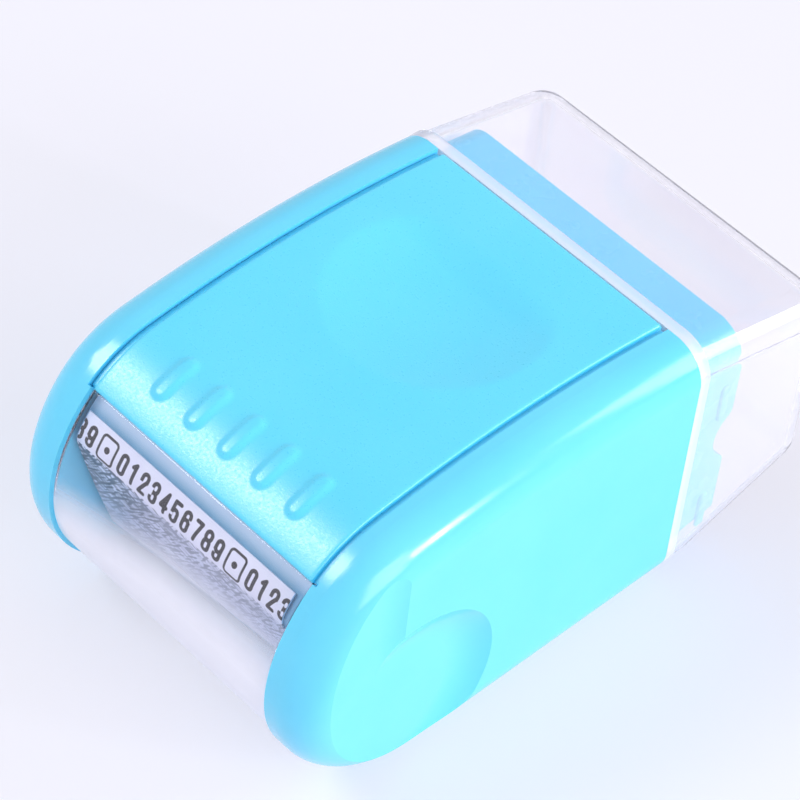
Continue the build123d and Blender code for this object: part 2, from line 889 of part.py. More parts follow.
row_pitch = 360 / stroke_rows
column_pitch = 2 * sleeve_half_width / stroke_columns
stroke_depth = 2 * (relief_height + stroke_root)

with BuildPart() as strokes:
    for column in range(stroke_columns):
        x = (column + 1 / 2) * column_pitch - sleeve_half_width
        turn = column % 2 * row_pitch / 2
        lean = stroke_slant * (1 - column % 2 * 2)
        with Locations(Plane(origin=(x, drum_y, drum_z), x_dir=(0, 1, 0), z_dir=(1, 0, 0))):
            with PolarLocations(relief_radius, stroke_rows, start_angle=turn):
                Box(stroke_depth, stroke_width, stroke_length, rotation=(lean, 0, 0))
    with BuildSketch(Plane.YZ):
        with Locations(drum_centre):
            Circle(relief_radius)
    extrude(amount=sleeve_half_width, both=True, mode=Mode.INTERSECT)

with BuildPart() as stamp_sleeve:
    with BuildSketch(Plane.YZ):
        with Locations(drum_centre):
            Circle(relief_radius - relief_height)
    extrude(amount=sleeve_half_width, both=True)
    add(strokes.part)
    with BuildSketch(Plane.YZ):
        with Locations(drum_centre):
            Circle(spool_radius + seat_gap)
    extrude(amount=width, both=True, mode=Mode.SUBTRACT)
stamp_sleeve.part.label = "stamp_sleeve"
export_step(stamp_sleeve.part, "parts/stamp_sleeve.step")

with BuildPart() as drive_tyre_right:
    with BuildSketch(Plane.YZ.offset(drum_half_width - tyre_width)):
        with Locations(drum_centre):
            upright_ring(tyre_radius, spool_radius + seat_gap)
    extrude(amount=tyre_width)
    rims = drive_tyre_right.edges().filter_by(GeomType.CIRCLE).group_by(SortBy.RADIUS)[-1]
    chamfer(rims, length=tyre_edge)
drive_tyre_right.part.label = "drive_tyre_right"
export_step(drive_tyre_right.part, "parts/drive_tyre_right.step")

with BuildPart() as drive_tyre_left:
    add(drive_tyre_right.part)
    mirror(about=Plane.YZ, mode=Mode.REPLACE)
drive_tyre_left.part.label = "drive_tyre_left"
export_step(drive_tyre_left.part, "parts/drive_tyre_left.step")

with BuildPart() as drum_bush_right:
    with BuildSketch(Plane.YZ.offset(drum_half_width)):
        with Locations(drum_centre):
            upright_ring(bush_flange_radius, axle_radius + running_fit)
    extrude(amount=-bush_flange)
    with BuildSketch(Plane.YZ.offset(drum_half_width)):
        with Locations(drum_centre):
            upright_ring(bush_radius, axle_radius + running_fit)
    extrude(amount=-bush_length)
drum_bush_right.part.label = "drum_bush_right"
export_step(drum_bush_right.part, "parts/drum_bush_right.step")

with BuildPart() as drum_bush_left:
    add(drum_bush_right.part)
    mirror(about=Plane.YZ, mode=Mode.REPLACE)
drum_bush_left.part.label = "drum_bush_left"
export_step(drum_bush_left.part, "parts/drum_bush_left.step")


# Ink roller: steel pin, tube, foam and a bush at each end
ink_half_width = drum_half_width - ink_end_step
foam_half_width = drum_half_width - tyre_width - slide_gap
ink_centre = (ink_y, drum_z)

with BuildPart() as ink_axle:
    with BuildSketch(Plane.YZ):
        with Locations(ink_centre):
            Circle(ink_axle_radius)
    extrude(amount=cassette_half_width, both=True)
    chamfer(ink_axle.edges(), length=axle_chamfer)
ink_axle.part.label = "ink_axle"
export_step(ink_axle.part, "parts/ink_axle.step")

with BuildPart() as ink_core:
    with BuildSketch(Plane.YZ):
        with Locations(ink_centre):
            upright_ring(ink_tube_radius, ink_bush_radius + seat_gap)
    extrude(amount=ink_half_width - bush_flange - seat_gap, both=True)
ink_core.part.label = "ink_core"
export_step(ink_core.part, "parts/ink_core.step")

with BuildPart() as ink_foam:
    with BuildSketch(Plane.YZ):
        with Locations(ink_centre):
            upright_ring(foam_radius, ink_tube_radius + seat_gap)
    extrude(amount=foam_half_width, both=True)
ink_foam.part.label = "ink_foam"
export_step(ink_foam.part, "parts/ink_foam.step")

with BuildPart() as ink_bush_right:
    with BuildSketch(Plane.YZ.offset(ink_half_width)):
        with Locations(ink_centre):
            upright_ring(ink_bush_flange_radius, ink_axle_radius + running_fit)
    extrude(amount=-bush_flange)
    with BuildSketch(Plane.YZ.offset(ink_half_width)):
        with Locations(ink_centre):
            upright_ring(ink_bush_radius, ink_axle_radius + running_fit)
    extrude(amount=-ink_bush_length)
ink_bush_right.part.label = "ink_bush_right"
export_step(ink_bush_right.part, "parts/ink_bush_right.step")

with BuildPart() as ink_bush_left:
    add(ink_bush_right.part)
    mirror(about=Plane.YZ, mode=Mode.REPLACE)
ink_bush_left.part.label = "ink_bush_left"
export_step(ink_bush_left.part, "parts/ink_bush_left.step")
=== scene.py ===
import json
import math
import bpy
import numpy as np
from mathutils import Matrix, Vector

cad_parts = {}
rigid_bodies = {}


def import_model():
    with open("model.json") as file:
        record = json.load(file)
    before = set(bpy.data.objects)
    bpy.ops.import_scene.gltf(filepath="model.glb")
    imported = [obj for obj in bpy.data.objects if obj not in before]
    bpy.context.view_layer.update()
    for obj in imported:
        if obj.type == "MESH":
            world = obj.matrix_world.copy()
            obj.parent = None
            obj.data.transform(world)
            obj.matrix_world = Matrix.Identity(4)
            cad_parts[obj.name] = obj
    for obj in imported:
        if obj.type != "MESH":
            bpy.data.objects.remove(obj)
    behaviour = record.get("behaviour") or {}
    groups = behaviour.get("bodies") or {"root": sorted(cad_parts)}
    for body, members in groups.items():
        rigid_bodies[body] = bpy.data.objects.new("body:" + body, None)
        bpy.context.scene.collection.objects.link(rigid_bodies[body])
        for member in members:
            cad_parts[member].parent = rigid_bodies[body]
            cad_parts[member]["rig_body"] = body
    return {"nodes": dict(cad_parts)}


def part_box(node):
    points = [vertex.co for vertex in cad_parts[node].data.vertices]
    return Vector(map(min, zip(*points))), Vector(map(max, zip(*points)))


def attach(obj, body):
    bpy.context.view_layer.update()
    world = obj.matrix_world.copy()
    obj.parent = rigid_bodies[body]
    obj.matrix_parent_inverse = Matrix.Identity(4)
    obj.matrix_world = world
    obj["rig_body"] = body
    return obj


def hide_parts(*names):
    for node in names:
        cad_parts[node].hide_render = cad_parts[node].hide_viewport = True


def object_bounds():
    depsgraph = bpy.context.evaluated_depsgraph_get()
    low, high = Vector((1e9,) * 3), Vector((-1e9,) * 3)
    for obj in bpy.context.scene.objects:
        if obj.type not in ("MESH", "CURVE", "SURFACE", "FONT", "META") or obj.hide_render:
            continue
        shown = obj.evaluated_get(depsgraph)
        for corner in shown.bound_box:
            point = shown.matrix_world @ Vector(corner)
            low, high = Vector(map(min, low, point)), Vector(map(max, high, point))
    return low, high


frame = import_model()
cad_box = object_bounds()

MM = 0.001

# Camera: how it is turned, and where the middle of the top cover's front edge lies from it
CAMERA_AZIMUTH = math.radians(42.056)
CAMERA_ELEVATION = math.radians(47.3)
CAMERA_ROLL = math.radians(6.499)
CAMERA_LENS = 157.5
SENSOR_WIDTH = 36.0
COVER_EDGE = Vector((0, -31.85 * MM, 30.4 * MM))
EDGE_RIGHT, EDGE_DOWN, EDGE_AHEAD = -19.3132 * MM, 8.0368 * MM, 335.608 * MM

# Sizes from here on are in millimetres, and a place in the side view is the complex number y + iz
FRONT_Y = cad_box[0].y / MM
MOUTH_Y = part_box("side_shell_right")[1].y / MM
HEIGHT = 35.6
WALL = 1.8
NOSE_HIGH_RADIUS = 18.95
NOSE_CENTRE_Z = 17.4
BROW_RADIUS = 14.1
CROWN_RADIUS = 145.0
CREST_Y = FRONT_Y + 33.0
PANEL_FRONT_RISE = 2.41

# Top cover
COVER_HALF_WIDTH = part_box("top_cover")[1].x / MM
COVER_EDGE_RADIUS = 0.32
COVER_SPACING = 0.22
GROOVE_WIDTH = 0.72
GROOVE_LIFTS = (-0.6, -0.95)
DIMPLE_Y = MOUTH_Y - 15.9
DIMPLE_RADIUS = 12.1
DIMPLE_DEPTH = 1.25
DIMPLE_EDGE_SOFTNESS = 0.05
DIMPLE_REAR_START = 9.0
DIMPLE_REAR_SLOPE = 5.0
RIB_PITCH = 4.87
RIB_LENGTH = 5.9
RIB_WIDTH = 2.3
RIB_HEIGHT = 0.34
RIB_LEVEL_HALF = 0.4
RIB_ROOT = 0.12
RIB_START = 3.2
RIBS_EACH_SIDE = 2
FLANGE_COLUMNS = 4

# Window, and the painted reflection of the floor as a white veil on its foot
WINDOW_SETBACK = 0.35
WINDOW_FOOT_RISE = 1.1
WINDOW_WALL = 1.0
WINDOW_BEVEL = 0.22
WINDOW_HALF_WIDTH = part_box("window_visor")[1].x / MM
WINDOW_RIM_TURN = 1.3
WINDOW_SPACING = 0.5
REFLECTION_VEIL_BOTTOM, REFLECTION_VEIL_TOP = 17.5, 24.0
REFLECTION_VEIL_SHARE = 0.92
REFLECTION_VEIL_TILT = 0.22

# Cap, with its shares of milky white
RIM_LENGTH = 1.4
RIM_BLEND = 0.05
CAP_SIDE_START, CAP_SIDE_END = 20.2, 20.8
HAZE_TOP, HAZE_SIDE, HAZE_RIM = 0.05, 0.24, 0.48

# Cassette's nose, and where its painted shade, a blue-grey band for the dark gap under the cover,
# turns white: in height, and behind its foot
NOSE_SETBACK = 1.8
NOSE_RADIUS = NOSE_HIGH_RADIUS - NOSE_SETBACK
NOSE_TIP_Z = 24.8
NOSE_ROUNDING = 2.4
NOSE_FOOT_DEPTH = 10.4
NOSE_FOOT = complex(FRONT_Y + NOSE_FOOT_DEPTH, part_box("cassette_frame")[0].z / MM)
SHADE_BAND_BOTTOM, SHADE_BAND_TOP = 27.6, 29.0
SHADE_BAND_REAR_START, SHADE_BAND_REAR_END = 1.0, 3.0

# Printed label on the nose, with its row of digits and boxes
LABEL_TOP_Z = 27.55
LABEL_LEFT, LABEL_RIGHT = -15.5, 14.5
LABEL_LENGTH = 22.0
LABEL_LIFT = 0.02
LABEL_THICKNESS = 0.18
LABEL_COLUMNS = 261
LABEL_ROWS_BELOW = 40
ROW_MIDDLE = 1.98
ROW_DEPTH = 4.2
ROW_SPACING = 0.1
DIGIT_HALF_WIDTH = 0.37
DIGIT_HALF_HEIGHT = 0.97
DIGIT_STROKE = 0.41
DIGIT_PITCH = 1.56
BOX_SPACING = 18.8
FIRST_BOX = -11.55
BOX_MARGIN = 2.38
BOX_HALF_WIDTH, BOX_HALF_HEIGHT = 1.08, 1.3
BOX_CORNER = 0.42
BOX_LINE = 0.28
DOT_RADIUS = 0.36

# Crossing strokes below the row, with their leans in degrees, cut from noise at a height
STROKE_WIDTH, STROKE_LENGTH = 0.34, 3.4
STROKE_LEANS = (38, -52)
STROKE_CUT = (0.53, 0.55)

# Steps round a rounded edge, and the angle from which an edge of a mesh stays sharp
EDGE_BENDS = 5
SHARP_ANGLE = math.radians(40)

# Soft waves in a moulded skin, and what light does in the dyed plastic
SKIN_DEPTH = 0.004
DYED_PLASTIC = {
    "IOR": 1.5,
    "Subsurface_Weight": 0.12,
    "Subsurface_Scale": 1.2 * MM,
    "Subsurface_Radius": (0.35, 0.8, 1.0),
}


def side_angle(centre, place):
    """Angle in radians from a centre to a place in the side view."""
    return float(np.angle(place - centre))


def meeting_centre(first, first_reach, second, second_reach):
    """Foremost place at given distances from two others: along the line between them by
    (a² + g² − b²) / 2g, and aside from it by what is left of a."""
    gap = abs(second - first)
    along = (first_reach**2 + gap**2 - second_reach**2) / (2 * gap)
    aside = math.sqrt(first_reach**2 - along**2)
    heading = (second - first) / gap
    places = [first + heading * (along + side * aside * 1j) for side in (-1, 1)]
    return min(places, key=lambda place: place.real)


class SideLine:
    """Arcs and straight runs laid end to end in the side view."""

    def __init__(self):
        self.length = 0.0
        self.parts = []

    def add(self, length, place):
        """Adds a part, whose places come from the distance along it and the lift off it."""
        self.parts.append((self.length, place))
        self.length += length
        return self

    def arc(self, centre, radius, start, end):
        """Adds an arc: centre + (r + lift)·e^(i·angle), with the angle growing by length / r."""
        turn = math.copysign(1, end - start)

        def place(along, lift):
            return centre + (radius + lift) * np.exp(1j * (start + turn * along / radius))

        return self.add(radius * abs(end - start), place)

    def run(self, start, end):
        """Adds a straight run between two places, with its outside to the right of its heading."""
        heading = (end - start) / abs(end - start)
        return self.add(abs(end - start), lambda along, lift: start + heading * (along - 1j * lift))

    def at(self, along, lift=0.0):
        """Places at distances along the line, moved outwards by lift."""
        places = self.parts[0][1](along, lift)
        for begin, place in self.parts[1:]:
            places = np.where(along >= begin, place(along - begin, lift), places)
        return places


NOSE_CENTRE = complex(FRONT_Y + NOSE_HIGH_RADIUS, NOSE_CENTRE_Z)
CROWN_CENTRE = complex(CREST_Y, HEIGHT - CROWN_RADIUS)
BROW_CENTRE = meeting_centre(
    CROWN_CENTRE, CROWN_RADIUS - BROW_RADIUS, NOSE_CENTRE, NOSE_HIGH_RADIUS - BROW_RADIUS
)
CROWN_START = side_angle(CROWN_CENTRE, BROW_CENTRE)
BROW_END = side_angle(NOSE_CENTRE, BROW_CENTRE)
PANEL_FRONT = BROW_END - PANEL_FRONT_RISE / BROW_RADIUS
CROWN_END = math.acos((MOUTH_Y - CREST_Y) / CROWN_RADIUS)


def smoothstep(value, start, end):
    """Eased step 3t² − 2t³, with t the share of the way from start to end."""
    share = np.clip((value - start) / (end - start), 0, 1)
    return share * share * (3 - 2 * share)


def edged_steps(start, end, spacing, radius):
    """Places from start to end: evenly spaced between the rounded edges, and r − r·sin of an angle
    from either end within them."""
    bend = radius * (1 - np.sin(np.linspace(math.pi / 2, 0, EDGE_BENDS)))
    count = max(2, round((end - start - 2 * radius) / spacing) + 1)
    level = np.linspace(start + radius, end - radius, count)
    return np.concatenate([start + bend[:-1], level, end - bend[-2::-1]])


def edge_drop(across, along, radius):
    """Drop of a rounded edge, r − √(r² − e²), from the distances to the two nearest edges."""
    inside = np.hypot(np.maximum(radius - across, 0), np.maximum(radius - along, 0))
    return radius - np.sqrt(radius**2 - np.minimum(inside, radius) ** 2)


def quads(grid, wrap=False):
    """Faces between neighbouring rows and columns of a grid of vertex numbers, wrapped if told."""
    if wrap:
        grid = np.concatenate([grid, grid[:, :1]], axis=1)
    return np.stack([grid[:-1, :-1], grid[:-1, 1:], grid[1:, 1:], grid[1:, :-1]], -1).reshape(-1, 4)


def closed_plate(upper, lower):
    """Points and faces of a plate between two grids of equal size, closed by a strip of faces
    from the upper grid's rim to the lower one's."""
    rows, columns = upper.shape[:2]
    above = np.arange(rows * columns).reshape(rows, columns)
    below = above + rows * columns
    rim = np.concatenate([above[0, :-1], above[:-1, -1], above[-1, :0:-1], above[:0:-1, 0]])
    wall = quads(np.stack([rim, rim + rows * columns]), wrap=True)
    faces = np.concatenate([quads(above), quads(below)[:, ::-1], wall[:, ::-1]])
    return np.concatenate([upper.reshape(-1, 3), lower.reshape(-1, 3)]), faces


def outward(points, faces):
    """Turns all faces round if the volume that they enclose, the sum of a · (b × c + c × d) over
    them, comes out negative."""
    a, b, c, d = (points[faces[:, corner]] for corner in range(4))
    volume = np.einsum("ij,ij->", a, np.cross(b, c) + np.cross(c, d))
    return faces if volume > 0 else faces[:, ::-1]


def make_piece(name, points, faces, node, material, uv=None, fields=()):
    """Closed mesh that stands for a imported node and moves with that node's body."""
    faces = outward(points, faces)
    mesh = bpy.data.meshes.new(name)
    mesh.from_pydata((points * MM).tolist(), [], faces.tolist())
    mesh.polygons.foreach_set("use_smooth", np.ones(len(faces), bool))
    mesh.set_sharp_from_angle(angle=SHARP_ANGLE)
    if uv is not None:
        corners = np.empty(len(mesh.loops), np.int32)
        mesh.loops.foreach_get("vertex_index", corners)
        mesh.uv_layers.new(name="surface_mm").data.foreach_set("uv", uv[corners].ravel())
    for field, values in fields:
        mesh.attributes.new(field, "FLOAT", "POINT").data.foreach_set("value", values)
    mesh.materials.append(material)
    piece = bpy.data.objects.new(name, mesh)
    bpy.context.scene.collection.objects.link(piece)
    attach(piece, frame["nodes"][node]["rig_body"])
    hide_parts(node)


def side_points(x, places):
    """Points in space from x and places in the side view."""
    return np.stack([np.broadcast_to(x, places.shape), places.real, places.imag], -1)


def rib_height(x, along):
    """Height of the ribs: level over the middle of each slot outline and eased down round it."""
    nearest = x - RIB_PITCH * np.clip(np.round(x / RIB_PITCH), -RIBS_EACH_SIDE, RIBS_EACH_SIDE)
    straight = (RIB_LENGTH - RIB_WIDTH) / 2
    past = np.maximum(np.abs(along - RIB_START - RIB_LENGTH / 2) - straight, 0)
    away = np.hypot(nearest, past)
    return RIB_HEIGHT * (1 - smoothstep(away, RIB_LEVEL_HALF, RIB_WIDTH / 2 + RIB_ROOT))


def dimple_depth(x, y):
    """Depth of the thumb dimple: a lens b = 1 − r²/R², kept from going below nothing by
    (b + √(b² + s²)) / 2, and eased out towards its straight rear edge."""
    bowl = 1 - (x**2 + (y - DIMPLE_Y) ** 2) / DIMPLE_RADIUS**2
    bowl = (bowl + np.sqrt(bowl**2 + DIMPLE_EDGE_SOFTNESS**2)) / 2
    inside = DIMPLE_Y + DIMPLE_REAR_START - y
    return DIMPLE_DEPTH * bowl * smoothstep(inside, 0, DIMPLE_REAR_SLOPE)


def add_top_cover():
    """Panel over the brow's and the crown's arcs: ribs add to its lift, and the dimple and the
    rounded edges take from it; its underside follows a wall below, dimple and all. On each side
    a thin flange, whose two lifts are fixed, runs out to fill the groove."""
    line = SideLine().arc(BROW_CENTRE, BROW_RADIUS, PANEL_FRONT, CROWN_START)
    line.arc(CROWN_CENTRE, CROWN_RADIUS, CROWN_START, CROWN_END)
    across = edged_steps(-COVER_HALF_WIDTH, COVER_HALF_WIDTH, COVER_SPACING, COVER_EDGE_RADIUS)
    down = edged_steps(0, line.length, COVER_SPACING, COVER_EDGE_RADIUS)
    beside = COVER_HALF_WIDTH + np.linspace(0, GROOVE_WIDTH, FLANGE_COLUMNS)
    flange = np.full(FLANGE_COLUMNS, True)
    flange = np.concatenate([flange, np.full(len(across), False), flange])
    x, along = np.meshgrid(np.concatenate([-beside[::-1], across, beside]), down)
    sunk = dimple_depth(x, line.at(along).real)
    to_end = np.minimum(along, line.length - along)
    edge = edge_drop(COVER_HALF_WIDTH - np.abs(x), to_end, COVER_EDGE_RADIUS)
    floor = GROOVE_LIFTS[0] - edge_drop(COVER_EDGE_RADIUS, to_end, COVER_EDGE_RADIUS)
    top = np.where(flange, floor, rib_height(x, along) - sunk - edge)
    underside = np.where(flange, GROOVE_LIFTS[1], -WALL - sunk)
    upper, lower = (side_points(x, line.at(along, lift)) for lift in (top, underside))
    points, faces = closed_plate(upper, lower)
    make_piece("ribbed_top_cover", points, faces, "top_cover", textured_cover())


def rounded_wall(length, wall, bevel, inset, spacing):
    """Loop round a wall's section, as distances along it and depths below its outside: a box with
    rounded corners, moved inwards by inset, whose second half mirrors its first."""
    radius = bevel - inset
    turn = np.linspace(0, math.pi / 2, EDGE_BENDS)
    level = np.linspace(bevel, length - bevel, max(3, round(length / spacing)))[1:-1]
    along = np.concatenate([
        bevel - radius * np.cos(turn), level, length - bevel + radius * np.sin(turn)
    ])
    depth = np.concatenate([
        bevel - radius * np.sin(turn), np.full(len(level), inset), bevel - radius * np.cos(turn)
    ])
    return np.concatenate([along, along[::-1]]), np.concatenate([depth, wall - depth[::-1]])


def add_window():
    """Clear wall carried across the stamp: towards each side its section's loop shrinks by
    r − r·cos where x runs out by r·sin, of an angle that stops short of a right one so that the
    loop's corners stay round. A strip of faces closes each side."""
    low_radius = NOSE_CENTRE_Z - WINDOW_FOOT_RISE
    low_centre = complex(FRONT_Y + WINDOW_SETBACK + low_radius, NOSE_CENTRE_Z)
    line = SideLine().arc(BROW_CENTRE, BROW_RADIUS - WINDOW_SETBACK, PANEL_FRONT, BROW_END)
    line.arc(NOSE_CENTRE, NOSE_HIGH_RADIUS - WINDOW_SETBACK, BROW_END, math.pi)
    line.arc(low_centre, low_radius, math.pi, 1.5 * math.pi)
    turn = np.linspace(WINDOW_RIM_TURN, 0, EDGE_BENDS)
    out = WINDOW_HALF_WIDTH + WINDOW_BEVEL * (np.sin(turn) / math.sin(WINDOW_RIM_TURN) - 1)
    inset = WINDOW_BEVEL * (1 - np.cos(turn))
    loops = []
    for x, inwards in zip([*-out, *out[::-1]], [*inset, *inset[::-1]]):
        along, depth = rounded_wall(line.length, WINDOW_WALL, WINDOW_BEVEL, inwards, WINDOW_SPACING)
        loops.append(side_points(x, line.at(along, -depth)))
    grid = np.arange(len(loops) * len(loops[0])).reshape(len(loops), -1)
    half = grid.shape[1] // 2
    caps = [quads(np.stack([end[:half], end[:half - 1:-1]])) for end in (grid[0], grid[-1])]
    faces = np.concatenate([quads(grid, wrap=True), caps[0][:, ::-1], caps[1]])
    # The window's foot gets a painted reflection of the floor, a white veil
    clear = clear_plastic("clear_window", colour(252, 253, 255), 0.02, 60, painted_reflection_foot)
    make_piece("curved_window", np.concatenate(loops), faces, "window_visor", clear)


def bar(x, y, x0, y0, x1, y1):
    """Distance to the straight stroke between two places: to the nearest place on it, whose share
    of the way is held between 0 and 1."""
    dx, dy = x1 - x0, y1 - y0
    share = np.clip(((x - x0) * dx + (y - y0) * dy) / (dx * dx + dy * dy), 0, 1)
    return np.hypot(x - x0 - share * dx, y - y0 - share * dy)


def ring(x, y, middle, half_width, half_height, corner=None):
    """Distance to the outline of an upright box with rounded corners: the distance from the box
    drawn in by its corner radius, negative inside it, less that radius and without its sign."""
    corner = half_width if corner is None else corner
    away_x = np.abs(x) - half_width + corner
    away_y = np.abs(y - middle) - half_height + corner
    outside = np.hypot(np.maximum(away_x, 0), np.maximum(away_y, 0))
    return np.abs(outside + np.minimum(np.maximum(away_x, away_y), 0) - corner)


def without(distance, x, y, left, right, bottom, top):
    """Distance to a stroke with an upright box cut out of it: the larger of the distance and the
    depth inside the box."""
    inside = np.minimum(np.minimum(x - left, right - x), np.minimum(y - bottom, top - y))
    return np.maximum(distance, inside)


def digit_distance(digit, x, y):
    """Distance to the middle line of a narrow digit, drawn with straight strokes and rounded
    rings. A 9 is a 6 turned by half."""
    w, h = DIGIT_HALF_WIDTH, DIGIT_HALF_HEIGHT
    wide = 3 * w
    if digit == 0:
        return ring(x, y, 0, w, h)
    if digit == 1:
        return np.minimum(bar(x, y, 0.2 * w, -h, 0.2 * w, h), bar(x, y, 0.2 * w, h, -0.8 * w, h - w))
    if digit == 2:
        hook = without(ring(x, y, 0, w, h), x, y, -wide, wide, -wide, 0.3 * h)
        hook = np.minimum(hook, bar(x, y, w, 0.35 * h, -w, -h))
        return np.minimum(hook, bar(x, y, -w, -h, w, -h))
    if digit == 3:
        both = np.minimum(ring(x, y, h / 2, w, h / 2), ring(x, y, -h / 2, w, h / 2))
        return without(both, x, y, -wide, -0.1 * w, -0.62 * h, 0.62 * h)
    if digit == 4:
        upright = np.minimum(bar(x, y, 0.5 * w, -h, 0.5 * w, h), bar(x, y, 0.5 * w, h, -w, -0.4 * h))
        return np.minimum(upright, bar(x, y, -w, -0.4 * h, 1.2 * w, -0.4 * h))
    if digit == 5:
        bowl = without(ring(x, y, -0.4 * h, w, 0.6 * h), x, y, -wide, 0, -0.7 * h, 0)
        flag = np.minimum(bar(x, y, -w, h, w, h), bar(x, y, -w, h, -w, 0))
        return np.minimum(bowl, flag)
    if digit == 7:
        return np.minimum(bar(x, y, -w, h, w, h), bar(x, y, w, h, -0.3 * w, -h))
    if digit == 8:
        return np.minimum(ring(x, y, 0.52 * h, w, 0.48 * h), ring(x, y, -0.46 * h, w, 0.54 * h))
    if digit == 9:
        x, y = -x, -y
    stem = without(ring(x, y, 0, w, h), x, y, 0, wide, -0.1 * h, 0.55 * h)
    return np.minimum(ring(x, y, -0.42 * h, w, 0.58 * h), stem)


def print_distance(x, down):
    """Signed distance to the label's printed row: plain digits between blank boxes with a dot."""
    near = np.full(x.shape, 1.0)
    middle = ROW_MIDDLE - down
    runs = (
        (FIRST_BOX - BOX_MARGIN - DIGIT_PITCH, (8, 9)),
        (FIRST_BOX + BOX_MARGIN, range(10)),
        (FIRST_BOX + BOX_MARGIN + BOX_SPACING, range(4)),
    )
    for start, digits in runs:
        for place, digit in enumerate(digits):
            aside = x - start - place * DIGIT_PITCH
            near = np.minimum(near, digit_distance(digit, aside, middle) - DIGIT_STROKE / 2)
    for centre in (FIRST_BOX, FIRST_BOX + BOX_SPACING):
        away = x - centre
        box = ring(away, middle, 0, BOX_HALF_WIDTH, BOX_HALF_HEIGHT, BOX_CORNER) - BOX_LINE / 2
        near = np.minimum(near, np.minimum(box, np.hypot(away, middle) - DOT_RADIUS))
    return near


def add_label():
    """Sheet that follows the nose: its front arc, a small arc round the tip and the straight run to
    the foot. The small arc's centre lies its radius inside both the front arc and the run. The
    distances to the printed row are kept on the points, which lie close together there."""
    tip = NOSE_CENTRE + complex(
        -math.sqrt(NOSE_RADIUS**2 - (NOSE_TIP_Z - NOSE_CENTRE_Z) ** 2), NOSE_TIP_Z - NOSE_CENTRE_Z
    )
    heading = (NOSE_FOOT - tip) / abs(NOSE_FOOT - tip)
    start = tip + 1j * heading * NOSE_ROUNDING
    share = ((start - NOSE_CENTRE) * heading.conjugate()).real
    inner = abs(start - NOSE_CENTRE) ** 2 - (NOSE_RADIUS - NOSE_ROUNDING) ** 2
    bend_centre = start + heading * (-share - math.sqrt(share**2 - inner))
    top_angle = math.pi - math.asin((LABEL_TOP_Z - NOSE_CENTRE_Z) / NOSE_RADIUS)
    bend_start = side_angle(NOSE_CENTRE, bend_centre)
    bend_end = float(np.angle(-1j * heading)) % (2 * math.pi)
    line = SideLine().arc(NOSE_CENTRE, NOSE_RADIUS, top_angle, bend_start)
    line.arc(bend_centre, NOSE_ROUNDING, bend_start, bend_end)
    line.run(bend_centre - 1j * heading * NOSE_ROUNDING, NOSE_FOOT)
    below = np.linspace(ROW_DEPTH, LABEL_LENGTH, LABEL_ROWS_BELOW)
    down = np.concatenate([np.arange(0, ROW_DEPTH, ROW_SPACING), below])
    across = np.linspace(LABEL_LEFT, LABEL_RIGHT, LABEL_COLUMNS)
    x, along = np.meshgrid(across, down)
    upper = side_points(x, line.at(along, LABEL_LIFT + LABEL_THICKNESS))
    lower = side_points(x, line.at(along, LABEL_LIFT))
    points, faces = closed_plate(upper, lower)
    near = np.clip(print_distance(x, along), -1, 1).ravel()
    uv = np.stack([x.ravel(), along.ravel()], -1)
    make_piece(
        "printed_label", points, faces, "index_label", label_paper(),
        uv=np.concatenate([uv, uv]),
        fields=[("print_distance", np.concatenate([near, np.ones(near.shape)]))],
    )


def colour(red, green, blue):
    """Linear colour with full alpha from values of 0 to 255 as a screen shows them: s / 12.92 near
    black and ((s + 0.055) / 1.055)^2.4 above, with s the value's share of 255."""
    shares = [value / 255 for value in (red, green, blue)]
    linear = [s / 12.92 if s <= 0.04045 else ((s + 0.055) / 1.055) ** 2.4 for s in shares]
    return (*linear, 1.0)


